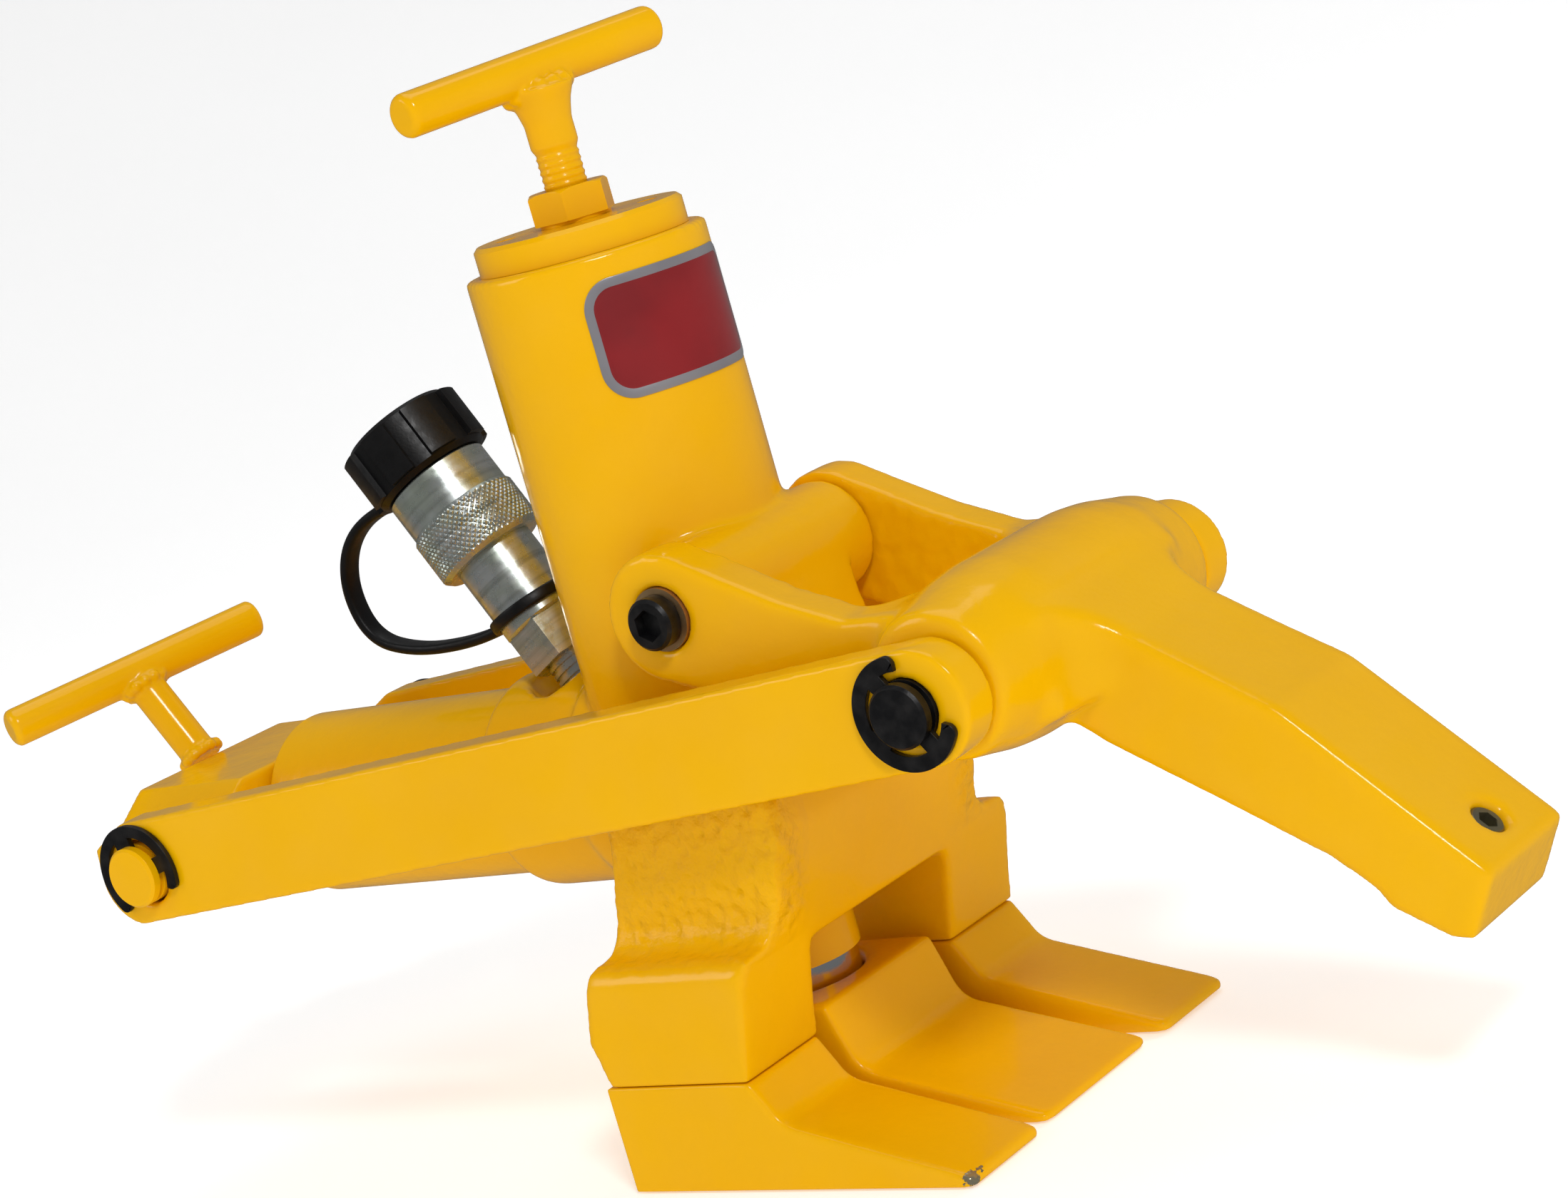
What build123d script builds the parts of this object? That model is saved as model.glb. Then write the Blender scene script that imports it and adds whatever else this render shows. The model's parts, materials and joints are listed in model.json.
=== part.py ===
"""Hydraulic bead breaker for large wheels: a push cylinder with three toes and a clamping claw.

The cylinder pushes the middle toe down; the clamp cylinder pulls the crosshead and the side bars
back, which swings the claw in towards the toes.

Frame while drawing: X forward (towards the claw), Y across, Z up, millimetres.
The main cylinder stands on the Z axis and the toes rest flat on Z = 0.
Before export everything is shifted along X so that the whole tool is centred on the origin.
"""
import os
from math import atan2, cos, degrees, hypot, radians, sin, tan

from build123d import *

# ---------------------------------------------------------------- driving dimensions
CYL_R = 35.0            # main cylinder body, outside radius
CYL_TOP = 257.0         # height of the rim of the main cylinder
BORE_R = 26.0           # main bore
FIT = 0.05              # radial clearance of a sliding or running fit
GAP = 0.4               # side clearance between parts that swing past each other

FOOT_Y = 70.0           # outer face of the feet and of the outer toes
FOOT_IN = 35.0          # inner face of the feet and of the outer toes
WAIST_Y = 52.0          # half width of the casting above the feet
SOLE = 31.5             # joint between casting and outer toes

TOE_BACK = -19.5        # rear of the outer toes
MID_BACK = -22.5        # rear of the middle toe, behind the push rod
TOE_TIP = 98.0          # front edge of the outer toes
MID_TIP = 95.5          # front edge of the middle toe
TOE_THICK = 3.0         # thickness of the blade at its edge
TIP_ROUND = 3.0         # rounding of the toes' front corners
MID_Y = 28.0            # half width of the middle toe
MID_TOP = 37.0          # its height

RAM_R = 20.0            # chromed push rod

PIVOT = (30.0, 158.5)   # claw pivot (x, z)
HUB = (118.5, 130.5)    # front pin of the side bars
REAR = (-180.5, 107.5)  # rear pin of the side bars
BOSS_R = 16.5           # cross boss that carries the claw
PLATE_IN = 34.0         # claw fork, inner face
PLATE_OUT = 48.5        # claw fork, outer face
PLATE_R = 18.6          # round end of a fork plate
HUB_R = 25.5            # hub at the front end of the fork, at its middle
HUB_RISE = 1.5          # the hub is thicker above its pin
HUB_Y = 55.5            # half length of the hub
BEAM_Y = 22.9           # half width of the claw beam
ROOT_Y = 37.0           # half width of its root, where it flares into the hub
WEB_R = 11.0            # hollow corners between fork plates and hub

BAR_IN = 56.7           # side bars, inner face
BAR_T = 12.7            # their thickness
BAR_OUT = BAR_IN + BAR_T
BAR_H = 32.0            # and their height
PIN_R = 8.75            # front pin
REAR_PIN_R = 9.5        # rear pin
PIN_END = 74.7          # end faces of both pins
CLIP_R = 15.6           # outside radius of the clips
CLIP_T = 1.75           # their thickness
GROOVE = 1.6            # depth of the clip grooves in the pins
LOOSE = 0.7             # the rear holes of the bars leave room for the swing

CLAMP_Z = 104.5         # axis of the clamp cylinder
BARREL_R = 28.2         # outside of its barrel
BARREL_FRONT = -72.2    # shoulder against the casting
BARREL_END = -164.5     # open rear end
CLAMP_BORE = 20.0
SPIGOT = 4.45           # wall of the barrel's spigot in the casting
CLAMP_ROD = 11.0
HEAD_FRONT = -165.0     # crosshead, front and rear faces, top and bottom
HEAD_REAR = -213.0
HEAD_TOP = 124.0
HEAD_LOW = 90.0
HEAD_Y = 55.5           # half its width

CAP_R = 30.5            # closure of the main cylinder
CAP_H = 8.4
HANDLE_Z = 309.0        # top T-bar
HANDLE_R = 6.4
HANDLE_LEN = 94.0
STUD_R = 6.35           # its threaded stud
STUD_FIT = 0.05
CROSS = 80.0            # long enough to cut through the tool from side to side

PORT = (-43.0, 131.0)   # foot of the hydraulic port axis (x, z)
PORT_TILT = 28.4        # how far the port axis leans back from upright, degrees
PORT_FLAT = 4.5         # spot face of the port boss, measured along the port axis


# ---------------------------------------------------------------- small helpers
def side_face(*points):
    """A face in the XZ plane from (x, z) points."""
    return make_face(Polyline(*[(x, 0, z) for x, z in points], close=True))


def slab(face, y_from, y_to):
    """Extrude an XZ face along Y between two values."""
    return extrude(face.moved(Location((0, y_from, 0))), amount=y_to - y_from, dir=(0, 1, 0))


def rod(radius, start, end):
    """A round bar between two points."""
    axis = Vector(*end) - Vector(*start)
    plane = Plane(origin=start, z_dir=axis)
    return extrude(plane * Circle(radius), amount=axis.length)


def cross_rod(radius, centre, y_from, y_to):
    """A round bar along Y."""
    return rod(radius, (centre[0], y_from, centre[1]), (centre[0], y_to, centre[1]))


def upright(radius, z_from, z_to, x=0.0, y=0.0):
    """A round bar along Z."""
    return rod(radius, (x, y, z_from), (x, y, z_to))


def tube(outer, inner, z_from, z_to):
    """A ring about the Z axis."""
    return upright(outer, z_from, z_to) - upright(inner, z_from - 1, z_to + 1)


def hexagon(across_flats, start, end):
    """A hexagon bar between two points."""
    axis = Vector(*end) - Vector(*start)
    plane = Plane(origin=start, z_dir=axis)
    return extrude(plane * RegularPolygon(across_flats / 2, 6, major_radius=False), amount=axis.length)


def mirrored(shape):
    """The same shape on the other side of the tool."""
    return shape.mirror(Plane.XZ)


def port_point(s, across=0.0):
    """Point on the port axis, s from its foot, 'across' towards the rear and down."""
    a = radians(PORT_TILT)
    return (PORT[0] - sin(a) * s - cos(a) * across, 0.0, PORT[1] + cos(a) * s - sin(a) * across)


def port_rod(radius, s_from, s_to):
    """A round bar on the port axis."""
    return rod(radius, port_point(s_from), port_point(s_to))


def turned(profile_points, centre):
    """Solid of revolution about a Y axis through centre, from (radius, y) points."""
    pts = [(centre[0] + r, y, centre[1]) for r, y in profile_points]
    face = make_face(Polyline(*pts, close=True))
    return revolve(face, Axis((centre[0], 0, centre[1]), (0, 1, 0)), 360)


def turned_z(profile_points):
    """Solid of revolution about the Z axis from (radius, z) points."""
    return revolve(make_face(Polyline(*[(r, 0, z) for r, z in profile_points], close=True)), Axis.Z, 360)


def turned_x(profile_points, z0):
    """Solid of revolution about an X axis at height z0 from (x, radius) points."""
    face = make_face(Polyline(*[(x, 0, z0 + r) for x, r in profile_points], close=True))
    return revolve(face, Axis((0, 0, z0), (1, 0, 0)), 360)


nodes = {}

# ---------------------------------------------------------------- main casting
GLAND_LOW = 43.0        # lower end of the rod guide
BORE_LOW = 86.0         # floor of the spring chamber
BORE_HIGH = 243.0       # floor of the counterbore for the closure
ARCH_TOP = 60.0         # roof of the arch between the feet
SHOULDER = 134.0        # where the legs meet the cylinder
PORT_BOSS_R = 12.5
GUIDE_WALL = 6.0        # thickness of the rod guide

BLEND = 9.0             # hollow blend between foot and waist
FOOT_TOP = 66.0
FOOT_ROUND = 6.0        # rounding along the outer top edge of a foot
half = [
    (0, ARCH_TOP), (FOOT_IN - 1, ARCH_TOP), (FOOT_IN, ARCH_TOP - 1), (FOOT_IN, SOLE), (FOOT_Y, SOLE),
    (FOOT_Y, FOOT_TOP - FOOT_ROUND),
]
waist = [(WAIST_Y, FOOT_TOP + BLEND), (WAIST_Y, 106), (WAIST_Y - 3, 112), (PLATE_IN - 2, 130), (0, SHOULDER)]


def quarter(y, z, step_y, step_z, swap=False):
    """A quarter arc in the YZ plane from (y, z) by (step_y, step_z)."""
    flat = sin(radians(45))
    rest = 1 - cos(radians(45))
    part_y, part_z = (flat, rest) if swap else (rest, flat)
    middle = (0, y + step_y * part_y, z + step_z * part_z)
    return ThreePointArc((0, y, z), middle, (0, y + step_y, z + step_z))


front_edge = [
    Polyline(*[(0, y, z) for y, z in half]),
    quarter(FOOT_Y, FOOT_TOP - FOOT_ROUND, -FOOT_ROUND, FOOT_ROUND),
    Line((0, FOOT_Y - FOOT_ROUND, FOOT_TOP), (0, WAIST_Y + BLEND, FOOT_TOP)),
    quarter(WAIST_Y + BLEND, FOOT_TOP, -BLEND, BLEND, swap=True),
    Polyline(*[(0, y, z) for y, z in waist]),
    Line((0, 0, SHOULDER), (0, 0, ARCH_TOP)),
]
front_half = extrude(make_face(front_edge), amount=90, dir=(1, 0, 0)).moved(Location((-30, 0, 0)))
front_solid = front_half + mirrored(front_half)
side_solid = slab(side_face(
    (-17.6, SOLE), (32.0, SOLE), (40.0, 62), (50.8, 95), (50, 106), (26, 124), (20, 140),
    (-20, 140), (-7, 112), (-9, 98), (-16, 70), (-16, 66), (-21.4, 45)), -CROSS, CROSS)
casting = front_solid & side_solid
casting += upright(CYL_R, 96, CYL_TOP) - upright(CYL_R + 5, CYL_TOP - 0.01, CYL_TOP + 5)
casting += slab(side_face((0, 100), (50.4, 100), (49.5, 128), (46.4, 156), (30, 172), (0, 180)),
                -BOSS_R * 1.15, BOSS_R * 1.15)
casting += cross_rod(BOSS_R, PIVOT, -PLATE_IN + GAP, PLATE_IN - GAP)
casting += turned_x([(-72, 0), (-72, 29.0), (-69, 32.5), (-30, 32.5), (0, 30), (0, 0)], CLAMP_Z)
casting += rod(34.5, (-34, 0, CLAMP_Z), (0, 0, CLAMP_Z))
casting += port_rod(PORT_BOSS_R, -22, 2)
casting += Sphere(PORT_BOSS_R + 1).moved(Location(port_point(-4)))

casting -= upright(BORE_R, BORE_LOW, CYL_TOP + 5)
casting -= upright(CAP_R - 2.0, BORE_HIGH, CYL_TOP + 5)
casting -= upright(RAM_R + GUIDE_WALL, 40, BORE_LOW + 1)
casting -= rod(CLAMP_BORE + SPIGOT + FIT, (-74, 0, CLAMP_Z), (-50.5, 0, CLAMP_Z))
casting -= rod(CLAMP_BORE, (-52, 0, CLAMP_Z), (-46, 0, CLAMP_Z))
casting -= cross_rod(5.0, PIVOT, -60, 60)
casting -= port_rod(6.5, -4, 6)
casting -= port_rod(16.0, PORT_FLAT, 14)
casting -= rod(2.5, port_point(-1), (-BORE_R + 1, 0, 120))
casting -= rod(2.5, port_point(-2), (-47, 0, CLAMP_Z + 10))
TOE_SCREW_X = (-4.0, 17.0)
TOE_SCREW_Y = 52.0
TOE_SCREW_R = 4.0
for sx in TOE_SCREW_X:
    for sy in (-TOE_SCREW_Y, TOE_SCREW_Y):
        casting -= upright(TOE_SCREW_R, SOLE - 1, SOLE + 18, sx, sy)
nodes["main_casting"] = casting

# ---------------------------------------------------------------- top closure and handle
PLUG_R = CAP_R - 2.05
CAP_TOP = CYL_TOP + CAP_H
CAP_EDGE = 1.2
SPANNER_R = 3.0
SPANNER_DEPTH = 5.0
SPANNER = (16.0, 13.0)  # position of one spanner hole; the other is opposite
cap = turned_z([(0, BORE_HIGH + 2), (PLUG_R, BORE_HIGH + 2), (PLUG_R, CYL_TOP), (CAP_R, CYL_TOP),
                (CAP_R, CAP_TOP - CAP_EDGE), (CAP_R - CAP_EDGE, CAP_TOP), (0, CAP_TOP)])
cap -= upright(STUD_R + STUD_FIT, BORE_HIGH, CAP_TOP + 1)
for side in (-1, 1):
    cap -= upright(SPANNER_R, CAP_TOP - SPANNER_DEPTH, CAP_TOP + 1, side * SPANNER[0], side * SPANNER[1])
nodes["cylinder_cap"] = cap

NUT_H = 10.0
NUT_TOP = CAP_TOP + NUT_H
NUT_AF = 21.5           # across flats
NUT_FACE = 10.8         # radius of its chamfered faces
nut = hexagon(NUT_AF, (0, 0, CAP_TOP + 1), (0, 0, NUT_TOP))
nut += upright(NUT_FACE - 0.4, CAP_TOP, CAP_TOP + 1.2)
nut = nut & turned_z([(0, CAP_TOP), (NUT_FACE, CAP_TOP), (NUT_AF * 0.6, CAP_TOP + 1.6),
                      (NUT_AF * 0.6, NUT_TOP - 1.4), (NUT_FACE, NUT_TOP), (0, NUT_TOP)])
nut -= upright(STUD_R + STUD_FIT, CAP_TOP - 1, NUT_TOP + 1)
nodes["handle_lock_nut"] = nut

SHANK_R = 6.9           # plain part of the stud, above the thread
THREAD = 0.55           # depth and pitch of the drawn thread
PITCH = 2.0
THREAD_TOP = NUT_TOP + 10
CORE_R = STUD_R - THREAD
stud = upright(CORE_R, BORE_HIGH + 3, THREAD_TOP + 2)
for turn in range(16):
    z = THREAD_TOP - 32 + turn * PITCH
    stud += turned_z([(0, z), (CORE_R, z), (STUD_R, z + 0.75), (STUD_R, z + 1.0), (CORE_R, z + 1.75),
                      (0, z + 1.75)])
stud += turned_z([(0, THREAD_TOP), (STUD_R - 0.4, THREAD_TOP), (SHANK_R, THREAD_TOP + 2.0),
                  (SHANK_R, HANDLE_Z - 15), (SHANK_R + 1.2, HANDLE_Z - 10), (SHANK_R + 3.4, HANDLE_Z - 5),
                  (0, HANDLE_Z - 5)])
nodes["handle_stud"] = stud


BAR_CHAMFER = 1.4
HANDLE_TURN = 12.0      # the bar isn't square to the tool
HANDLE_RISE = 3.0       # nor level


def t_bar(centre, length, radius, turn, rise):
    """A chamfered cross bar through centre, turned about Z and lifted at its +Y end (degrees)."""
    d = Vector(sin(radians(turn)), cos(radians(turn)), tan(radians(rise))).normalized()
    c = Vector(*centre)
    bar = rod(radius, tuple(c - d * (length / 2)), tuple(c + d * (length / 2)))
    return chamfer(bar.edges().filter_by(GeomType.CIRCLE), BAR_CHAMFER)


top_bar = t_bar((-1.2, 0, HANDLE_Z), HANDLE_LEN, HANDLE_R, HANDLE_TURN, HANDLE_RISE)
nodes["handle_stud"] -= top_bar
nodes["handle_bar"] = top_bar

# ---------------------------------------------------------------- push ram (moves down)
SEAL_GAP = 0.2          # end play of a seal in its groove
WIPER_Z = (62.0, 66.0)
WIPER_R = RAM_R + 2.0
GUIDE_R = RAM_R + GUIDE_WALL - FIT
guide = turned_z([(RAM_R + FIT, GLAND_LOW), (RAM_R + 1.6, GLAND_LOW), (RAM_R + 1.6, ARCH_TOP - 2),
                  (GUIDE_R, ARCH_TOP), (GUIDE_R, BORE_LOW), (RAM_R + FIT, BORE_LOW)])
guide -= tube(WIPER_R, RAM_R - 1, *WIPER_Z)
nodes["ram_guide"] = guide
nodes["ram_wiper"] = tube(WIPER_R, RAM_R + FIT, WIPER_Z[0] + SEAL_GAP, WIPER_Z[1] - SEAL_GAP)

PISTON_LOW = 196.0
PISTON_HIGH = 218.0
PISTON_SEAL = (PISTON_LOW + 8.0, PISTON_LOW + 14.0)
SEAL_DEPTH = 3.5
piston = upright(BORE_R - FIT, PISTON_LOW, PISTON_HIGH)
piston -= tube(BORE_R + 1, BORE_R - SEAL_DEPTH, *PISTON_SEAL)
nodes["ram_piston"] = piston
nodes["ram_piston_seal"] = tube(BORE_R - FIT, BORE_R - SEAL_DEPTH, PISTON_SEAL[0] + SEAL_GAP,
                                PISTON_SEAL[1] - SEAL_GAP)

ROD_SEAT = 9.0          # how deep the rod stands in the middle toe
MID_SCREW_R = 5.0
ram = upright(RAM_R, MID_TOP - ROD_SEAT, PISTON_LOW)
ram -= upright(MID_SCREW_R, MID_TOP - ROD_SEAT - 1, MID_TOP + 20)
nodes["ram_rod"] = ram

SPRING_R = 23.1
WIRE_R = 1.9
TURNS = 6.5
spring_low = BORE_LOW + WIRE_R + 0.1
spring_high = PISTON_LOW - WIRE_R - 0.1
path = Helix((spring_high - spring_low) / TURNS, spring_high - spring_low, SPRING_R)
wire_plane = Plane(origin=path @ 0, z_dir=path % 0)
spring = sweep(wire_plane * Circle(WIRE_R), path=path, is_frenet=True)
nodes["ram_return_spring"] = spring.moved(Location((0, 0, spring_low)))


# ---------------------------------------------------------------- toes
def toe_side(back, top, fold_z, edge, x_front, tip):
    """Side outline of a toe: heel block, hollow front, wedge blade."""
    lines = [
        Line((back, 0, 0), (back, 0, top)),
        Line((back, 0, top), (x_front - 2.5, 0, top)),
        Line((x_front - 2.5, 0, top), (x_front + 2.6, 0, fold_z + 4.6)),
        ThreePointArc((x_front + 2.6, 0, fold_z + 4.6), (x_front + 5.0, 0, fold_z + 1.2),
                      (x_front + 9.4, 0, fold_z - 1.0)),
        Line((x_front + 9.4, 0, fold_z - 1.0), (tip, 0, edge)),
        Line((tip, 0, edge), (tip, 0, 0)),
        Line((tip, 0, 0), (back, 0, 0)),
    ]
    return make_face(lines)


outer = slab(toe_side(TOE_BACK, SOLE, 18.9, TOE_THICK, 34.3, TOE_TIP), FOOT_IN, FOOT_Y)
outer = fillet(outer.edges().filter_by(Axis.Z).group_by(Axis.X)[-1], TIP_ROUND)
TOE_SEAT = 10.0         # depth of the counterbores for the toe screws
MID_SEAT = 11.0
for sx in TOE_SCREW_X:
    outer -= upright(TOE_SCREW_R + 0.3, -1, SOLE + 1, sx, TOE_SCREW_Y)
    outer -= upright(TOE_SCREW_R + 3.0, -1, TOE_SEAT, sx, TOE_SCREW_Y)
nodes["outer_toe_left"] = outer
nodes["outer_toe_right"] = mirrored(outer)


def socket_screw(length, thread_r, head_r, head_h, key):
    """Socket head screw along +Z, head from z = 0 down, shank up; key is across flats."""
    s = upright(head_r, -head_h, 0) + upright(thread_r, 0, length)
    s = chamfer(s.edges().filter_by(GeomType.CIRCLE).sort_by(Axis.Z)[0], 0.8)
    return s - hexagon(key, (0, 0, -head_h - 0.01), (0, 0, -head_h * 0.45))


for side, name in ((1, "left"), (-1, "right")):
    for sx, place in zip(TOE_SCREW_X, ("rear", "front")):
        s = socket_screw(34.0, TOE_SCREW_R, 6.5, 8.0, 6.0)
        nodes[f"toe_screw_{name}_{place}"] = s.moved(Location((sx, side * TOE_SCREW_Y, TOE_SEAT)))

middle = slab(toe_side(MID_BACK, MID_TOP, 17.0, 2.2, 33.0, MID_TIP), -MID_Y, MID_Y)
middle = fillet(middle.edges().filter_by(Axis.Z).group_by(Axis.X)[-1], TIP_ROUND)
middle -= upright(RAM_R + 1.2, MID_TOP - 2.0, MID_TOP + 1)
middle -= upright(RAM_R + 0.02, MID_TOP - ROD_SEAT, MID_TOP)
middle -= upright(MID_SCREW_R + 0.3, -1, MID_TOP)
middle -= upright(MID_SCREW_R + 3.5, -1, MID_SEAT)
nodes["middle_toe"] = middle
nodes["middle_toe_screw"] = socket_screw(34.0, MID_SCREW_R, 8.0, 9.0, 8.0).moved(Location((0, 0, MID_SEAT)))

# ---------------------------------------------------------------- claw
px, pz = PIVOT
hx, hz = HUB
plate_face = side_face(
    (px + 0.325 * PLATE_R, pz + 0.945 * PLATE_R), (px + 38.5, pz + 0.9), (px + 59, pz - 7.2),
    (hx - 12, hz + 20.5), (hx + 14, hz + 12), (hx + 6, hz - 20), (hx - 20, hz - 16),
    (px - 0.2 * PLATE_R, pz - 0.98 * PLATE_R))
plate = slab(plate_face, PLATE_IN, PLATE_OUT) + cross_rod(PLATE_R, PIVOT, PLATE_IN, PLATE_OUT)
HUB_END_R = 20.4        # the hub swells from its ends to its middle
half_hub = [(HUB_END_R - 0.8, HUB_Y), (HUB_END_R, HUB_Y - 0.8), (HUB_END_R + 0.8, 50.0),
            (HUB_END_R + 2.4, 42.0), (HUB_END_R + 4.1, 34.0), (HUB_R, 24.0)]
profile = [(0, HUB_Y)] + half_hub + [(radius, -y) for radius, y in reversed(half_hub)] + [(0, -HUB_Y)]
hub = turned(profile, (hx, hz + HUB_RISE))


def hollow_corner(x, y, radius, step):
    """Plan outline of a hollow fillet from a wall across X at x to a wall along X at y."""
    mid = radius * (1 - cos(radians(45)))
    return ThreePointArc((x, y + radius, 0), (x + step * mid, y + mid, 0), (x + step * radius, y, 0))


beam_top = [(hx - 6, hz + 20), (hx + 13.0, hz + 22.6), (143.0, 142.6), (158.0, 131.2)]
beam_side = side_face(
    *beam_top, (195.0, 107.8), (242.7, 60.0), (233.0, 42.8), (227.0, 43.9), (212.4, 52.8), (209.7, 57.8),
    (199.0, 67.4), (142.5, 102.5), (132.0, 110.5), (hx, hz - 22))
beam = slab(beam_side, -BEAM_Y, BEAM_Y)
root_side = side_face(*beam_top, (168.0, 124.8), (150.0, 118.0), (136.0, 113.5), (hx, hz - 18))
root_x = hx + HUB_R - 2
flare = ROOT_Y - BEAM_Y
plan = make_face([
    Line((hx - 8, 0, 0), (hx - 8, ROOT_Y, 0)), Line((hx - 8, ROOT_Y, 0), (root_x, ROOT_Y, 0)),
    hollow_corner(root_x, BEAM_Y, flare, 1), Line((root_x + flare, BEAM_Y, 0), (root_x + flare, 0, 0)),
    Line((root_x + flare, 0, 0), (hx - 8, 0, 0))])
plan = extrude(plan, amount=200, dir=(0, 0, 1))
beam += slab(root_side, -ROOT_Y, ROOT_Y) & (plan + mirrored(plan))
inner_x = hx - HUB_R + 2
WEB_IN = inner_x + 14   # inside the hub
web_mid = WEB_R * (1 - cos(radians(45)))
web = make_face([
    Polyline((inner_x, PLATE_IN - WEB_R, 0), (WEB_IN, PLATE_IN - WEB_R, 0), (WEB_IN, PLATE_IN + 1, 0),
             (inner_x - WEB_R, PLATE_IN + 1, 0), (inner_x - WEB_R, PLATE_IN, 0)),
    ThreePointArc((inner_x - WEB_R, PLATE_IN, 0), (inner_x - web_mid, PLATE_IN - web_mid, 0),
                  (inner_x, PLATE_IN - WEB_R, 0))])
web = extrude(web, amount=200, dir=(0, 0, 1)) & slab(plate_face, 0, PLATE_OUT)
claw = plate + mirrored(plate) + hub + beam + web + mirrored(web)
BUSH_R = 9.0
PIVOT_SCREW_R = 6.5
claw -= cross_rod(PIN_R + FIT, HUB, -CROSS, CROSS)
claw -= cross_rod(BUSH_R, PIVOT, -CROSS, CROSS)
SCREW_FOOT = (234.6, 68.4)
SET_R = 5.0
SET_DEPTH = 24.0


def along_set_screw(s):
    """Point on the axis of the set screw, s up from the claw's edge; it leans 45 degrees."""
    return (SCREW_FOOT[0] + s * cos(radians(45)), 0, SCREW_FOOT[1] + s * sin(radians(45)))


claw -= rod(SET_R + 0.1, along_set_screw(-40), along_set_screw(7))
nodes["claw_arm"] = claw

set_screw = rod(SET_R, along_set_screw(-SET_DEPTH), along_set_screw(-2))
set_screw = chamfer(set_screw.edges().filter_by(GeomType.CIRCLE), 0.7)
set_screw -= hexagon(SET_R, along_set_screw(-8), along_set_screw(0))
nodes["claw_set_screw"] = set_screw

# pivot bushes pressed into the fork, shouldered screws fixed in the cross boss
bush = cross_rod(BUSH_R, PIVOT, PLATE_IN, PLATE_OUT) - cross_rod(PIVOT_SCREW_R + FIT, PIVOT, 0, CROSS)
nodes["pivot_bush_left"] = bush
nodes["pivot_bush_right"] = mirrored(bush)
screw = cross_rod(4.95, PIVOT, PLATE_IN - GAP - 20, PLATE_IN - GAP + 0.5)
screw += cross_rod(PIVOT_SCREW_R, PIVOT, PLATE_IN - GAP, PLATE_OUT + GAP)
head = cross_rod(PIVOT_SCREW_R + 0.9, PIVOT, PLATE_OUT + GAP, PLATE_OUT + 5.6)
head = chamfer(head.edges().filter_by(GeomType.CIRCLE).sort_by(Axis.Y)[-1], 0.9)
screw += head
screw -= hexagon(8.0, (px, PLATE_OUT + 2.2, pz), (px, PLATE_OUT + 7, pz))
nodes["pivot_screw_left"] = screw
nodes["pivot_screw_right"] = mirrored(screw)

# ---------------------------------------------------------------- pins and clips
CLIP_IN = BAR_OUT + 0.25
HORN_ROUND = 2.4        # rounding of the clips' two free ends


def grooved_pin(centre, radius):
    pin = cross_rod(radius, centre, -PIN_END, PIN_END)
    pin = chamfer(pin.edges().filter_by(GeomType.CIRCLE), 0.8)
    for y in (CLIP_IN, -CLIP_IN - CLIP_T):
        groove = cross_rod(radius + 2, centre, y, y + CLIP_T)
        pin -= groove - cross_rod(radius - GROOVE, centre, y - 1, y + 3)
    return pin


def e_clip(centre, radius, outer, open_angle, mouth):
    """E-clip in the XZ plane: three lugs bear in the groove, the mouth faces open_angle."""
    clip_out = CLIP_IN + CLIP_T

    def at(distance, angle):
        return (centre[0] + distance * cos(angle), centre[1] + distance * sin(angle))

    ring = cross_rod(outer, centre, CLIP_IN, clip_out)
    ring -= cross_rod(radius + 2.6, centre, CLIP_IN - 1, clip_out + 1)
    for lug in (90, 180, 270):
        a = radians(open_angle + lug)
        opposite = lug == 180
        reach = radius + (4.0 if opposite else 3.6)
        block = Box(reach - radius + GROOVE, CLIP_T, 6.4 if opposite else 5.2).rotate(Axis.Y, -degrees(a))
        x, z = at((radius - GROOVE + reach) / 2, a)
        ring += block.moved(Location((x, (CLIP_IN + clip_out) / 2, z)))
    a = radians(open_angle)
    spread = radians(mouth)
    far = outer + 4
    wedge = side_face(centre, at(far, a - spread), at(1.4 * far, a), at(far, a + spread))
    ring -= slab(wedge, CLIP_IN - 1, clip_out + 1)
    ring -= cross_rod(radius - GROOVE + 0.02, centre, CLIP_IN - 1, clip_out + 1)

    def off_centre(edge):
        middle = edge.center()
        return hypot(middle.X - centre[0], middle.Z - centre[1])

    horns = [edge for edge in ring.edges().filter_by(Axis.Y) if off_centre(edge) > outer - 0.5]
    return fillet(horns, HORN_ROUND)


nodes["front_pin"] = grooved_pin(HUB, PIN_R)
nodes["rear_pin"] = grooved_pin(REAR, REAR_PIN_R)
front_clip = e_clip(HUB, PIN_R, CLIP_R, 35.0, 52.0)
nodes["front_clip_left"] = front_clip
nodes["front_clip_right"] = mirrored(front_clip)
rear_clip = e_clip(REAR, REAR_PIN_R, CLIP_R + 0.3, -75.0, 52.0)
nodes["rear_clip_left"] = rear_clip
nodes["rear_clip_right"] = mirrored(rear_clip)

# ---------------------------------------------------------------- side bars
tilt = atan2(HUB[1] - REAR[1], HUB[0] - REAR[0])
reach = hypot(HUB[1] - REAR[1], HUB[0] - REAR[0])
h = BAR_H / 2
bar_lines = [
    Line((-4, 0, h), (reach + 2.5, 0, h)),
    ThreePointArc((reach + 2.5, 0, h), (reach + 2.5 + h, 0, 0), (reach + 2.5, 0, -h)),
    Line((reach + 2.5, 0, -h), (-9, 0, -h)),
    ThreePointArc((-9, 0, -h), (-16.6, 0, -10.6), (-19.5, 0, 0)),
    Line((-19.5, 0, 0), (-17.5, 0, 10)),
    Line((-17.5, 0, 10), (-4, 0, h)),
]
bar_face = make_face(bar_lines).rotate(Axis.Y, -degrees(tilt)).moved(Location((REAR[0], 0, REAR[1])))
bar = slab(bar_face, BAR_IN, BAR_OUT)
bar -= cross_rod(PIN_R + FIT, HUB, 0, CROSS)
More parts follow.
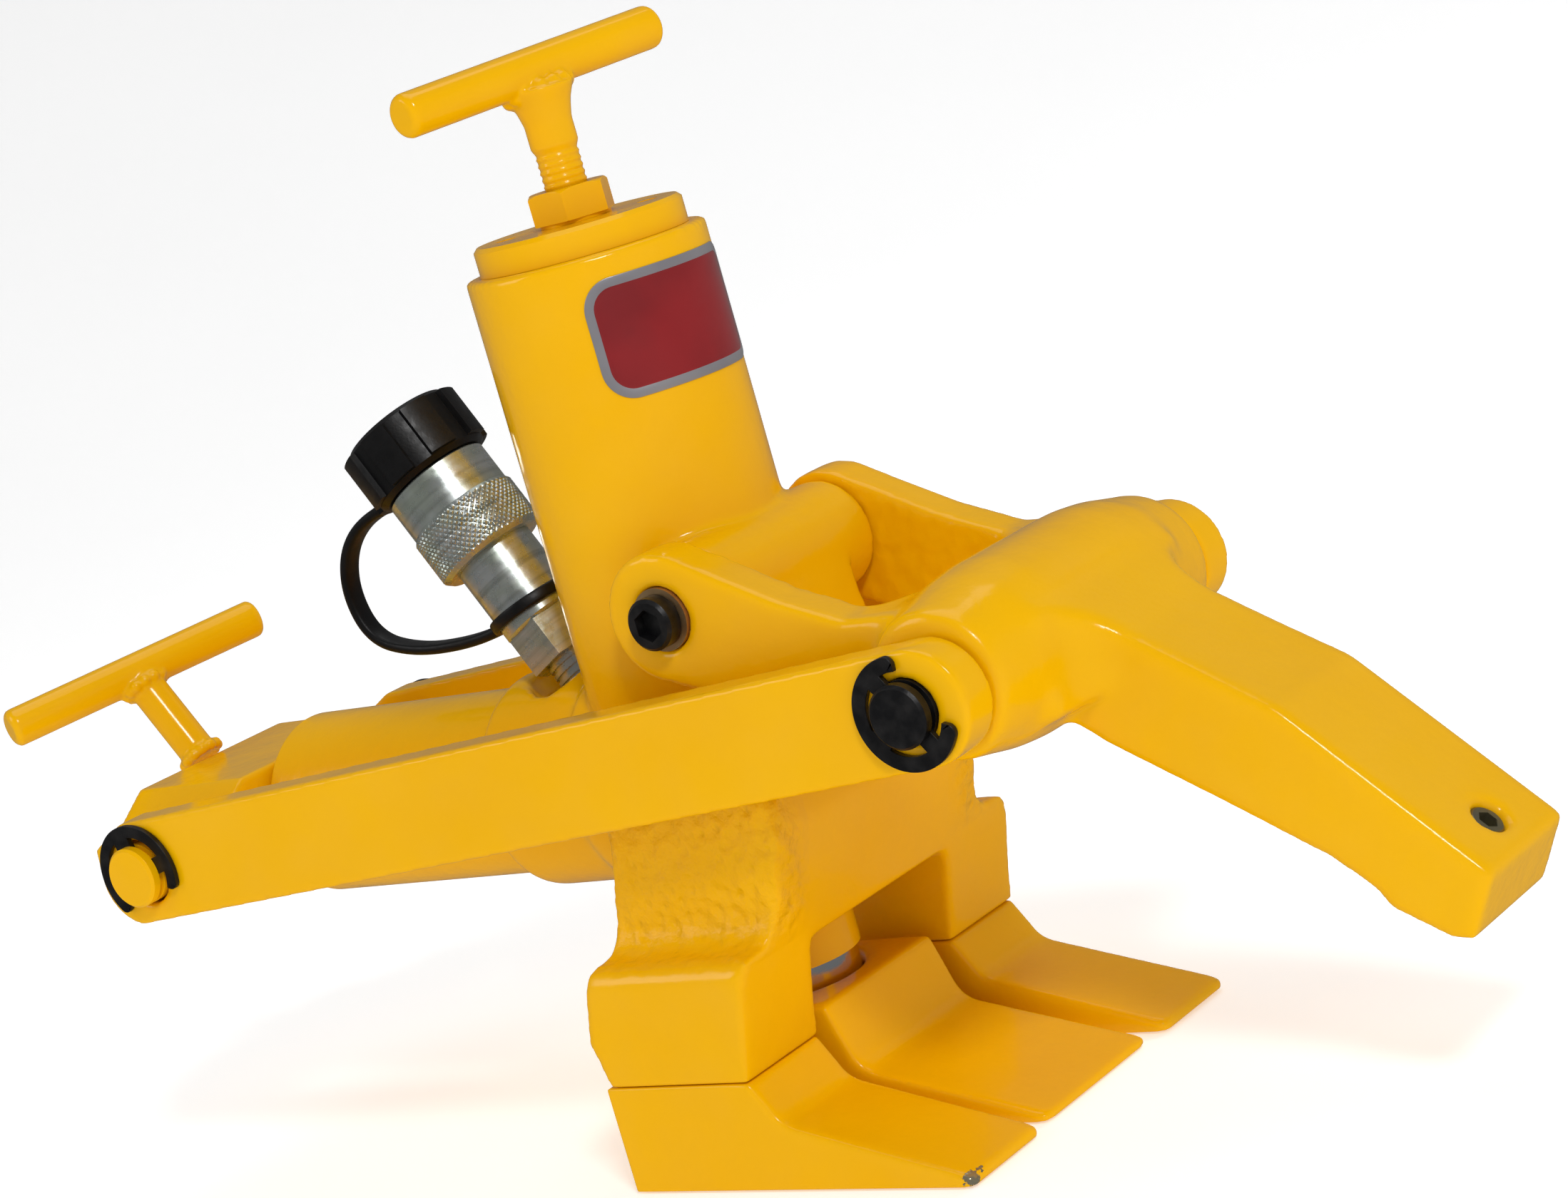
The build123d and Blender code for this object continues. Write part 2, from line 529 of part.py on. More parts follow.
bar -= cross_rod(REAR_PIN_R + LOOSE, REAR, 0, CROSS)
nodes["side_bar_left"] = bar
nodes["side_bar_right"] = mirrored(bar)

# ---------------------------------------------------------------- clamp cylinder and crosshead
barrel = turned_x([(-51, CLAMP_BORE), (-51, CLAMP_BORE + SPIGOT), (BARREL_FRONT, CLAMP_BORE + SPIGOT),
                   (BARREL_FRONT, BARREL_R), (BARREL_END + 1.5, BARREL_R), (BARREL_END, BARREL_R - 1.5),
                   (BARREL_END, CLAMP_BORE)], CLAMP_Z)
nodes["clamp_barrel"] = barrel


def ring_x(inner, outer, x_from, x_to):
    """A ring or, with inner = 0, a disc about the clamp axis."""
    return turned_x([(x_from, inner), (x_from, outer), (x_to, outer), (x_to, inner)], CLAMP_Z)


GLAND_LEN = 16.0
CLAMP_PISTON = (-100.0, -86.0)
CLAMP_SEAL = (-96.0, -90.0)
nodes["clamp_gland"] = ring_x(CLAMP_ROD + FIT, CLAMP_BORE - 0.02, BARREL_END, BARREL_END + GLAND_LEN)
clamp_piston = ring_x(0, CLAMP_BORE - FIT, *CLAMP_PISTON)
nodes["clamp_piston"] = clamp_piston - ring_x(CLAMP_BORE - SEAL_DEPTH, CLAMP_BORE + 2, *CLAMP_SEAL)
nodes["clamp_piston_seal"] = ring_x(CLAMP_BORE - SEAL_DEPTH, CLAMP_BORE - FIT, CLAMP_SEAL[0] + SEAL_GAP,
                                    CLAMP_SEAL[1] - SEAL_GAP)
ROD_IN = 5.0            # depth of the rod in the crosshead
nodes["clamp_rod"] = rod(CLAMP_ROD, (CLAMP_PISTON[0], 0, CLAMP_Z), (HEAD_FRONT - ROD_IN, 0, CLAMP_Z))

head_side = side_face((HEAD_FRONT, HEAD_LOW), (HEAD_FRONT, HEAD_TOP), (HEAD_REAR, HEAD_TOP),
                       (HEAD_REAR, HEAD_LOW + 14), (HEAD_REAR + 10, HEAD_LOW))
crosshead = slab(head_side, -HEAD_Y, HEAD_Y)
for side in (-1, 1):
    cut = make_face(Polyline((0, side * 33, HEAD_TOP + 0.1), (0, side * 60, HEAD_TOP - 18),
                             (0, side * 60, HEAD_TOP + 8), (0, side * 33, HEAD_TOP + 8), close=True))
    crosshead -= extrude(cut, amount=80, dir=(1, 0, 0)).moved(Location((HEAD_REAR - 15, 0, 0)))
crosshead -= cross_rod(REAR_PIN_R, REAR, -CROSS, CROSS)
crosshead -= rod(CLAMP_ROD, (HEAD_FRONT + 1, 0, CLAMP_Z), (HEAD_FRONT - ROD_IN, 0, CLAMP_Z))
REAR_BAR = (-235.3, 155.0)
lean = radians(31.0)    # of the stem, from upright
STEM_R = 6.0
STEM_LEN = 36.0
stem_foot = (REAR_BAR[0] + sin(lean) * STEM_LEN, 0, REAR_BAR[1] - cos(lean) * STEM_LEN)
stem = rod(STEM_R, stem_foot, (REAR_BAR[0], 0, REAR_BAR[1]))
rear_bar = t_bar((REAR_BAR[0], 0, REAR_BAR[1]), HANDLE_LEN - 3, HANDLE_R - 0.1, 2 * HANDLE_TURN,
                 HANDLE_RISE + 2)
stem -= rear_bar
stem -= crosshead
nodes["crosshead"] = crosshead
nodes["rear_handle_stem"] = stem
nodes["rear_handle_bar"] = rear_bar

# ---------------------------------------------------------------- hydraulic coupler
# Lengths with _S are measured along the port axis.
HEX_S = (12.0, 25.0)
HEX_AF = 22.4
BODY_R = 12.6           # body of the quick coupler
BODY_S = 70.0
COLLAR_S = (50.0, 79.0)
COLLAR_R = 17.5         # its knurled part
KNURL_LEN = 16.6
CAP_S = (79.4, 99.0)
DUST_R = 18.6           # dust cap
LUG_R = 20.4            # over its finger lugs
NIPPLE_R = 6.45
PASSAGE_R = 3.0
nipple = port_rod(NIPPLE_R, -3, HEX_S[0]) + port_rod(NIPPLE_R + 1.15, PORT_FLAT, HEX_S[0])
for turn in range(3):
    crest = PORT_FLAT + 0.8 + 2.4 * turn
    nipple += port_rod(NIPPLE_R + 1.95, crest, crest + 1.2)
nodes["port_nipple"] = nipple - port_rod(PASSAGE_R, -4, HEX_S[0] + 1)
body = hexagon(HEX_AF, port_point(HEX_S[0]), port_point(HEX_S[1]))
sleeve = port_rod(BODY_R, HEX_S[1], BODY_S)
body += chamfer(sleeve.edges().filter_by(GeomType.CIRCLE), 0.8)
nodes["coupler_body"] = body - port_rod(PASSAGE_R + 1.5, HEX_S[0] - 1, BODY_S + 1)
collar = port_rod(COLLAR_R, COLLAR_S[0], COLLAR_S[0] + KNURL_LEN)
collar = chamfer(collar.edges().filter_by(GeomType.CIRCLE), 1.4)
collar += port_rod(COLLAR_R - 0.9, COLLAR_S[0] + KNURL_LEN - 0.6, COLLAR_S[1])
collar -= port_rod(BODY_R + FIT, COLLAR_S[0] - 1, BODY_S + 0.1)
collar -= port_rod(BODY_R + 1.6, BODY_S, COLLAR_S[1] + 1)
nodes["coupler_collar"] = collar
dust = chamfer(port_rod(DUST_R, *CAP_S).edges().filter_by(GeomType.CIRCLE), 1.5)
for lug in range(4):
    rib = Box(2 * LUG_R, 9.0, CAP_S[1] - CAP_S[0] - 3.5) & Cylinder(LUG_R, 40)
    rib = rib.rotate(Axis.Z, 20 + 45 * lug).rotate(Axis.Y, -PORT_TILT)
    dust += rib.moved(Location(port_point((CAP_S[0] + CAP_S[1]) / 2)))
dust -= port_rod(BODY_R + 1.4, CAP_S[0] - 1, CAP_S[1] - 6)
nodes["dust_cap"] = dust

STRAP = (6.6, 3.4)      # width and thickness
KEEPER_S = (28.5, 33.5)
loop = [port_point(84, DUST_R), (-118.5, 0, 188), (-129.5, 0, 171), (-122, 0, 152.5), (-98, 0, 147.5),
        (-76, 0, 149.5), port_point(31, BODY_R + 1.4)]
line = FilletPolyline(*loop, radius=[14.0, 15.0, 14.0, 16.0, 16.0])
start = Plane(origin=line @ 0, x_dir=(0, 1, 0), z_dir=line % 0)
strap = sweep(start * Rectangle(*STRAP), path=line)
strap += port_rod(BODY_R + 2.1, *KEEPER_S)
strap -= port_rod(BODY_R + FIT, KEEPER_S[0] - 8, KEEPER_S[1] + 8)
nodes["dust_cap_strap"] = strap - dust

# ---------------------------------------------------------------- label on the front of the cylinder
LABEL_TURN = -9.0       # bearing of its middle
LABEL_W = 52.8          # across the chord
LABEL_H = 34.0
LABEL_Z = 233.0
LABEL_T = 0.3
bearing = (cos(radians(LABEL_TURN)), sin(radians(LABEL_TURN)), 0)
sheet = Plane(origin=(0, 0, LABEL_Z), x_dir=(-bearing[1], bearing[0], 0), z_dir=bearing)
label = extrude(sheet * RectangleRounded(LABEL_W, LABEL_H, 9.0), amount=60)
label = label & tube(CYL_R + 0.02 + LABEL_T, CYL_R + 0.02, LABEL_Z - LABEL_H, LABEL_Z + LABEL_H)
nodes["front_label"] = label

# ---------------------------------------------------------------- centre on the origin and export
boxes = [shape.bounding_box() for shape in nodes.values()]
shift_x = round(-(min(b.min.X for b in boxes) + max(b.max.X for b in boxes)) / 2, 1)

os.makedirs("parts", exist_ok=True)
for name, shape in nodes.items():
    export_step(shape.moved(Location((shift_x, 0, 0))), f"parts/{name}.step")
print("shift", shift_x)
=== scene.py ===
"""Looks of a hydraulic bead breaker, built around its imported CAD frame. Metres, +Z up."""
import json
import math

import bmesh
import bpy
import numpy as np
from mathutils import Euler, Matrix, Vector, noise


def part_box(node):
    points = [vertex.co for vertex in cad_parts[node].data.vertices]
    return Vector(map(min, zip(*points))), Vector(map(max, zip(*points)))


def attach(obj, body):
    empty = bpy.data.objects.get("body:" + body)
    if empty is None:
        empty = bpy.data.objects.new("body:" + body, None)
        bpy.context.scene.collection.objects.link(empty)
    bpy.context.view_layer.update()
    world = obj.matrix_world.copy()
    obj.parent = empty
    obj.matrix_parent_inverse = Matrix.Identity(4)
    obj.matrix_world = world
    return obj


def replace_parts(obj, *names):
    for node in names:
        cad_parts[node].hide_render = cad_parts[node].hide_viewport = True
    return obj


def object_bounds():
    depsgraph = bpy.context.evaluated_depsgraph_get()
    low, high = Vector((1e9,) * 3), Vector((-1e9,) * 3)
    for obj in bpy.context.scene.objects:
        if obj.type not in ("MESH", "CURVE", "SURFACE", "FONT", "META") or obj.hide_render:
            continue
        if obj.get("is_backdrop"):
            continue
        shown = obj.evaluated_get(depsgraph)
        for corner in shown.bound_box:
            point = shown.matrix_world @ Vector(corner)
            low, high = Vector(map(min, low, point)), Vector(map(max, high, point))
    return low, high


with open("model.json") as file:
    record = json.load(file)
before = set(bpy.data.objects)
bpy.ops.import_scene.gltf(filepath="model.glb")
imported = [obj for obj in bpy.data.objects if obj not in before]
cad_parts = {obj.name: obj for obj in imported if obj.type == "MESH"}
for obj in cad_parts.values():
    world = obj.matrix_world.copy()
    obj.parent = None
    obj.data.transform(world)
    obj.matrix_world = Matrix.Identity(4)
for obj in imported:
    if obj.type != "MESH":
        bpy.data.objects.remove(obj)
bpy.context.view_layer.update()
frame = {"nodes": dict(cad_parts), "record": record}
nodes = frame["nodes"]
scene = bpy.context.scene
CYLINDER_X = 0.0081     # where the upright cylinder's axis stands in the frame

# ---------------------------------------------------------------- camera
CAMERA_AT = (0.66825, -0.78054, 0.32166)
CAMERA_YAW = 38.71
CAMERA_DOWN = 9.81
CAMERA_ROLL = -15.89
LENS = 82.87

camera_data = bpy.data.cameras.new("camera")
camera_data.lens = LENS
camera_data.sensor_width = 36.0
camera_data.clip_start = 0.05
camera_data.clip_end = 60.0
camera = bpy.data.objects.new("camera", camera_data)
scene.collection.objects.link(camera)
turn = Euler((math.radians(90 - CAMERA_DOWN), 0, math.radians(CAMERA_YAW))).to_matrix()
turn = turn @ Matrix.Rotation(math.radians(CAMERA_ROLL), 3, "Z")
camera.matrix_world = Matrix.Translation(CAMERA_AT) @ turn.to_4x4()
scene.camera = camera
scene.view_settings.view_transform = "Standard"


# ---------------------------------------------------------------- node helpers
class Shader:
    """A material under construction: short names for the nodes that the materials below share."""

    def __init__(self, name, colour, metallic=0.0, rough=0.5):
        self.material = bpy.data.materials.new(name)
        self.material.use_nodes = True
        self.material.diffuse_color = (*colour, 1)
        self.tree = self.material.node_tree
        self.surface = self.tree.nodes["Principled BSDF"]
        self.set("Base Color", (*colour, 1))
        self.set("Metallic", metallic)
        self.set("Roughness", rough)
        self.place = self.node("ShaderNodeTexCoord").outputs["Object"]
        self.height = None

    def node(self, kind, **values):
        made = self.tree.nodes.new(kind)
        for key, value in values.items():
            setattr(made, key, value)
        return made

    def set(self, socket, value):
        self.surface.inputs[socket].default_value = value

    def link(self, source, target):
        self.tree.links.new(source, target)

    def feed(self, source, socket):
        self.link(source, self.surface.inputs[socket])

    def number(self, operation, a, b=0.0):
        made = self.node("ShaderNodeMath", operation=operation)
        for index, value in enumerate((a, b)):
            if isinstance(value, (int, float)):
                made.inputs[index].default_value = value
            else:
                self.link(value, made.inputs[index])
        return made.outputs[0]

    def stretched(self, factors):
        made = self.node("ShaderNodeMapping")
        made.inputs["Scale"].default_value = factors
        self.link(self.place, made.inputs["Vector"])
        return made.outputs[0]

    def noise(self, scale, detail=3.0, rough=0.5, where=None):
        made = self.node("ShaderNodeTexNoise")
        self.link(where or self.place, made.inputs["Vector"])
        made.inputs["Scale"].default_value = scale
        made.inputs["Detail"].default_value = detail
        made.inputs["Roughness"].default_value = rough
        return made.outputs["Fac"]

    def cells(self, scale):
        made = self.node("ShaderNodeTexVoronoi", feature="SMOOTH_F1")
        self.link(self.place, made.inputs["Vector"])
        made.inputs["Scale"].default_value = scale
        return made.outputs["Distance"]

    def remap(self, source, low, high, to_low=0.0, to_high=1.0):
        made = self.node("ShaderNodeMapRange")
        self.link(source, made.inputs["Value"])
        for key, value in (("From Min", low), ("From Max", high), ("To Min", to_low), ("To Max", to_high)):
            made.inputs[key].default_value = value
        return made.outputs["Result"]

    def blend(self, factor, a, b):
        """Mixes two colours, given as RGB values or as sockets, by a factor socket."""
        made = self.node("ShaderNodeMix", data_type="RGBA")
        self.link(factor, made.inputs[0])
        for index, value in ((6, a), (7, b)):
            if isinstance(value, tuple):
                made.inputs[index].default_value = (*value, 1)
            else:
                self.link(value, made.inputs[index])
        return made.outputs[2]

    def along(self, axis):
        """Distance along an axis through the origin."""
        made = self.node("ShaderNodeVectorMath", operation="DOT_PRODUCT")
        self.link(self.place, made.inputs[0])
        made.inputs[1].default_value = axis
        return made.outputs["Value"]

    def bands(self, axis, scale, detail=2.0):
        """Noise that changes along one axis only, as turning marks do."""
        made = self.node("ShaderNodeTexNoise", noise_dimensions="1D")
        self.link(self.along(axis), made.inputs["W"])
        made.inputs["Scale"].default_value = scale
        made.inputs["Detail"].default_value = detail
        return made.outputs["Fac"]

    def bump(self, source, depth):
        """Adds a bump on top of those before it."""
        made = self.node("ShaderNodeBump")
        made.inputs["Distance"].default_value = depth
        made.inputs["Strength"].default_value = 1.0
        self.link(source, made.inputs["Height"])
        if self.height is not None:
            self.link(self.height, made.inputs["Normal"])
        self.height = made.outputs["Normal"]
        self.link(self.height, self.surface.inputs["Normal"])

    def axis(self, index):
        made = self.node("ShaderNodeSeparateXYZ")
        self.link(self.place, made.inputs[0])
        return made.outputs[index]


# ---------------------------------------------------------------- materials
YELLOW = (0.87, 0.455, 0.0)
YELLOW_DEEP = (0.77, 0.365, 0.0)
BARE_STEEL = (0.30, 0.27, 0.18)
PORT_TILT = math.radians(28.4)
PORT_AXIS = Vector((-math.sin(PORT_TILT), 0, math.cos(PORT_TILT)))

# The upper part of the legs is as cast, lumpy under the paint; the rest is ground smooth first.
ROUGH_Y = (0.036, 0.046)
ROUGH_FROM_Z = (0.063, 0.071)
ROUGH_TO_Z = (0.118, 0.110)


def paint(name, peel=1.0, grain=0.0, rough_legs=False, chips=()):
    """Gloss enamel. peel is its orange peel, grain the surface under it, chips where it is knocked off."""
    s = Shader(name, YELLOW, 0.0, 0.28)
    patches = s.remap(s.noise(16, 4), 0.35, 0.72)
    colour = s.blend(s.number("MULTIPLY", patches, 0.30), YELLOW, YELLOW_DEEP)
    rough = s.remap(s.noise(60, 4), 0.3, 0.7, 0.14, 0.25)
    s.bump(s.noise(150, 3, 0.45), 0.00026 * peel)
    s.bump(s.noise(560, 2, 0.5), 0.00007 * peel)
    if grain:
        s.bump(s.noise(420, 5, 0.6), 0.0005 * grain)
    if rough_legs:
        inside = s.remap(s.number("ABSOLUTE", s.axis(1)), *ROUGH_Y)
        for limits in (ROUGH_FROM_Z, ROUGH_TO_Z):
            inside = s.number("MULTIPLY", inside, s.remap(s.axis(2), *limits))
        s.bump(s.number("MULTIPLY", s.remap(s.cells(260), 0.0, 0.8), inside), 0.0011)
        s.bump(s.number("MULTIPLY", s.noise(480, 4, 0.6), inside), 0.0006)
    s.set("Specular IOR Level", 0.22)
    s.set("Coat Weight", 0.35)
    s.set("Coat IOR", 1.3)
    s.set("Coat Roughness", 0.05)
    if chips:
        total = None
        for centre, radius in chips:
            gap = s.node("ShaderNodeVectorMath", operation="DISTANCE")
            s.link(s.place, gap.inputs[0])
            gap.inputs[1].default_value = centre
            raggedness = s.remap(s.noise(700, 4), 0.3, 0.7, -0.0012, 0.0012)
            ragged = s.number("ADD", gap.outputs["Value"], raggedness)
            spot = s.remap(ragged, radius, radius * 0.85)
            total = spot if total is None else s.number("MAXIMUM", total, spot)
        colour = s.blend(total, colour, BARE_STEEL)
        s.feed(s.number("MULTIPLY", total, 0.6), "Metallic")
        s.bump(total, -0.0002)
    s.feed(colour, "Base Color")
    s.feed(rough, "Roughness")
    return s.material


def plated(name, colour, tint, rough, turned_about=None):
    """Zinc or bright steel: cloudy passivation and, about a given axis, faint turning marks."""
    s = Shader(name, colour, 0.88, rough)
    base = s.blend(s.remap(s.noise(110, 4), 0.38, 0.66), colour, tint)
    spread = s.remap(s.noise(240, 4), 0.3, 0.7, rough * 0.7, rough * 1.4)
    s.bump(s.noise(900, 3, 0.6), 0.000012)
    if turned_about is not None:
        marks = s.bands(turned_about, 420, 3)
        base = s.blend(s.remap(marks, 0.45, 0.75, 0.0, 0.5), base, tuple(c * 0.5 for c in tint))
        s.bump(marks, 0.00003)
    s.feed(base, "Base Color")
    s.feed(spread, "Roughness")
    return s.material


def blackened(name):
    """Black oxide, a little oily."""
    s = Shader(name, (0.008, 0.008, 0.009), 0.4, 0.36)
    clouds = s.remap(s.noise(200, 4), 0.4, 0.7)
    s.feed(s.blend(clouds, (0.006, 0.006, 0.007), (0.020, 0.019, 0.019)), "Base Color")
    s.feed(s.remap(s.noise(500, 3), 0.3, 0.7, 0.28, 0.46), "Roughness")
    s.bump(s.noise(1500, 3), 0.00004)
    return s.material


def moulded(name, colour, rough, grain=0.00004):
    """Plastic or rubber as it comes from the mould."""
    s = Shader(name, colour, 0.0, rough)
    lighter = tuple(c * 1.7 + 0.001 for c in colour)
    s.feed(s.blend(s.remap(s.noise(70, 4), 0.4, 0.7, 0, 0.8), colour, lighter), "Base Color")
    s.feed(s.remap(s.noise(400, 3), 0.3, 0.7, rough * 0.85, rough * 1.2), "Roughness")
    s.bump(s.noise(1300, 3), grain)
    s.set("Specular IOR Level", 0.3)
    return s.material


def chromed(name):
    """Hard chrome with faint marks round the rod."""
    s = Shader(name, (0.78, 0.79, 0.80), 1.0, 0.08)
    s.feed(s.remap(s.noise(50, 5), 0.3, 0.7, 0.05, 0.14), "Roughness")
    s.bump(s.noise(700, 2, 0.5, s.stretched((1, 1, 12))), 0.000008)
    return s.material


def film(name, colour, other, metallic):
    """Printed vinyl under a gloss laminate."""
    s = Shader(name, colour, metallic, 0.3)
    s.feed(s.blend(s.remap(s.noise(40, 3), 0.35, 0.65), colour, other), "Base Color")
    s.feed(s.remap(s.noise(60, 2), 0.3, 0.7, 0.28, 0.34), "Roughness")
    s.set("Coat Weight", 0.8)
    s.set("Coat Roughness", 0.05)
    return s.material


toe_low, toe_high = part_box("outer_toe_right")
CHIP_X = toe_high.x - 0.0010
CHIPS = [((CHIP_X, toe_low.y + 0.0014, 0.0020), 0.0026),
         ((CHIP_X, toe_low.y + 0.0062, 0.0030), 0.0009)]

LOOKS = {
    "paint_smooth": paint("paint_smooth", 0.2),
    "paint_cast": paint("paint_cast", 0.9, rough_legs=True),
    "paint_forged": paint("paint_forged", 0.9, 0.12),
    "paint_toe": paint("paint_toe", 0.7, 0.08, chips=CHIPS),
    "chrome": chromed("chrome"),
    "zinc": plated("zinc", (0.58, 0.62, 0.62), (0.49, 0.55, 0.48), 0.32),
    "zinc_turned": plated("zinc_turned", (0.58, 0.62, 0.62), (0.49, 0.55, 0.48), 0.28, PORT_AXIS),
    "zinc_yellow": plated("zinc_yellow", (0.36, 0.32, 0.16), (0.28, 0.26, 0.18), 0.34),
    "steel": plated("steel", (0.50, 0.49, 0.48), (0.42, 0.41, 0.40), 0.3),
    "bronze": plated("bronze", (0.60, 0.40, 0.20), (0.48, 0.30, 0.14), 0.32),
    "black": blackened("black"),
    "plastic": moulded("plastic", (0.0026, 0.0026, 0.0029), 0.40),
    "rubber": moulded("rubber", (0.018, 0.018, 0.018), 0.6, 0.00008),
    "red_film": film("red_film", (0.27, 0.004, 0.007), (0.21, 0.003, 0.006), 0.0),
    "silver_film": film("silver_film", (0.46, 0.45, 0.48), (0.38, 0.37, 0.41), 0.6),
}
LOOK_OF_SLOT = {"yellow_paint": "paint_smooth", "hard_chrome": "chrome", "zinc_plate": "zinc",
                "zinc_screw": "zinc_yellow", "black_oxide": "black", "black_plastic": "plastic",
                "seal_rubber": "rubber", "label_film": "red_film", "bush_bronze": "bronze",
                "machined_steel": "steel"}
LOOK_OF_NODE = {"main_casting": "paint_cast", "claw_arm": "paint_forged", "outer_toe_left": "paint_toe",
                "outer_toe_right": "paint_toe", "middle_toe": "paint_toe", "clamp_barrel": "paint_forged",
                "crosshead": "paint_forged", "coupler_body": "zinc_turned", "port_nipple": "zinc_turned"}


def dress(piece, look):
    """Gives a CAD node its one material."""
    piece.data.materials.clear()
    piece.data.materials.append(LOOKS[look])


for part in frame["record"]["subparts"]:
    name = part["node"]
    dress(nodes[name], LOOK_OF_NODE.get(name, LOOK_OF_SLOT[part["material_slot"]]))


# ---------------------------------------------------------------- painted skins over cast and welded parts
def raw_mesh(name):
    """Vertices and faces of a CAD node as arrays."""
    data = nodes[name].data
    verts = np.zeros(len(data.vertices) * 3)
    data.vertices.foreach_get("co", verts)
    return verts.reshape(-1, 3), [tuple(p.vertices) for p in data.polygons]


def ball(centre, radius):
    """A small lump of weld, as vertices and faces."""
    mesh = bmesh.new()
    bmesh.ops.create_icosphere(mesh, subdivisions=2, radius=radius)
    verts = np.array([v.co for v in mesh.verts]) + np.array(centre)
    faces = [tuple(v.index for v in f.verts) for f in mesh.faces]
    mesh.free()
    return verts, faces


def relaxed(verts, edges, passes):
    """Moves each vertex towards its neighbours, for as many passes as its own count says."""
    count = np.bincount(edges.ravel(), minlength=len(verts)).astype(float)
    count[count == 0] = 1
    for turn_no in range(int(passes.max())):
        share = np.clip(passes - turn_no, 0, 1)[:, None] * 0.5
        total = np.empty_like(verts)
        for k in range(3):
            total[:, k] = np.bincount(edges[:, 0], verts[edges[:, 1], k], len(verts))
            total[:, k] += np.bincount(edges[:, 1], verts[edges[:, 0], k], len(verts))
        verts = verts + share * (total / count[:, None] - verts)
    return verts


def lumpy(points, normals, depth):
    """Pushes points in and out by up to depth, as rough castings are."""
    moved = points.copy()
    for i in np.nonzero(depth > 0.00001)[0]:
        at = Vector(points[i])
        swell = noise.noise(at * 210) + 0.6 * noise.noise(at * 430)
        moved[i] += normals[i] * depth[i] * swell
    return moved


def skin(name, parts, body, look, voxel, passes_at, lumps=(), depth_at=None):
    """One coat of paint over CAD nodes: remeshed finely, edges softened as passes_at(points) says."""
    verts = []
    faces = []
    start = 0
    for v, f in [raw_mesh(n) for n in parts] + [ball(*lump) for lump in lumps]:
        verts.append(v)
        faces += [tuple(i + start for i in face) for face in f]
        start += len(v)
    data = bpy.data.meshes.new(name)
    data.from_pydata(np.concatenate(verts).tolist(), [], faces)
    piece = bpy.data.objects.new(name, data)
    scene.collection.objects.link(piece)
    piece.modifiers.new("weld", "WELD").merge_threshold = 0.00001
    remesh = piece.modifiers.new("skin", "REMESH")
    remesh.mode = "VOXEL"
    remesh.voxel_size = voxel
    graph = bpy.context.evaluated_depsgraph_get()
    fine = bpy.data.meshes.new_from_object(piece.evaluated_get(graph))
    piece.modifiers.clear()
    piece.data = fine
    points = np.zeros(len(fine.vertices) * 3)
    fine.vertices.foreach_get("co", points)
    points = points.reshape(-1, 3)
    edges = np.zeros(len(fine.edges) * 2, dtype=np.int64)
    fine.edges.foreach_get("vertices", edges)
    points = relaxed(points, edges.reshape(-1, 2), passes_at(points))
    fine.vertices.foreach_set("co", points.ravel())
    fine.update()
    if depth_at is not None:
        normals = np.zeros(len(fine.vertices) * 3)
        fine.vertices.foreach_get("normal", normals)
        points = lumpy(points, normals.reshape(-1, 3), depth_at(points))
        fine.vertices.foreach_set("co", points.ravel())
        fine.update()
    for polygon in fine.polygons:
        polygon.use_smooth = True
    fine.name = name
    fine.materials.clear()
    fine.materials.append(LOOKS[look])
    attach(piece, body)
    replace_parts(piece, *parts)


def ramp(values, low, high):
    """0 at low, 1 at high, straight between."""
    return np.clip((values - low) / (high - low), 0, 1)


# Each pair of numbers is where a change of surface starts and ends, in metres along one axis.
FOOT_JOINT_Z = (0.033, 0.040)
LEG_TOP_Z = (0.100, 0.120)
BARREL_RIM_Z = (0.240, 0.248)
BLADE_X = (0.030, 0.045)
SOLE_EDGE_Z = (0.0015, 0.004)
FORK_FACE_Y = ((0.0325, 0.0335), (0.0350, 0.0365))
FORK_END_X = (0.095, 0.110)
HUB_X = (0.090, 0.110)
CLAW_ROOT_X = (0.180, 0.200)
CAST_DEPTH = 0.00042
FORGED_DEPTH = 0.00035


def casting_passes(p):
    """Softest on the legs, crispest at the cylinder's rim."""
    z = p[:, 2]
    legs = ramp(z, *FOOT_JOINT_Z) * (1 - ramp(z, *LEG_TOP_Z))
    return 6 + 9 * legs - 3 * ramp(z, *BARREL_RIM_Z)


def casting_lumps(p):
    """The rough upper part of the legs."""
    sides = ramp(abs(p[:, 1]), *ROUGH_Y)
    z = p[:, 2]
    return CAST_DEPTH * sides * ramp(z, *ROUGH_FROM_Z) * (1 - ramp(z, ROUGH_TO_Z[1], ROUGH_TO_Z[0]))


def toe_passes(p):
    """The blade is well rounded above its sole."""
    return 6 + 22 * ramp(p[:, 0], *BLADE_X) * ramp(p[:, 2], *SOLE_EDGE_Z)


def middle_passes(p):
    return np.maximum(toe_passes(p), 18 * ramp(p[:, 2], *SOLE_EDGE_Z))


def claw_lumps(p):
    """The fork's inner faces are left as forged."""
    y = abs(p[:, 1])
    inner_face = ramp(y, *FORK_FACE_Y[0]) * (1 - ramp(y, *FORK_FACE_Y[1]))
    return FORGED_DEPTH * inner_face * (1 - ramp(p[:, 0], *FORK_END_X))


def claw_passes(p):
    """Softest where the hub flows into the claw."""
    return 14 + 14 * ramp(p[:, 0], *HUB_X) * (1 - ramp(p[:, 0], *CLAW_ROOT_X))


def even(count):
    return lambda p: np.full(len(p), float(count))


def ring_of_lumps(centre, across, along, count, size, seed):
    """Overlapping balls on an oval round a joint, uneven as a weld bead is."""
    out = []
    for i in range(count):
        angle = 2 * math.pi * i / count
        wobble = 1 + 0.18 * noise.noise(Vector((seed, i * 0.7, 0.3)))
        at = Vector(centre) + Vector(across) * math.cos(angle) + Vector(along) * math.sin(angle)
        out.append((tuple(at), size * wobble))
    return out


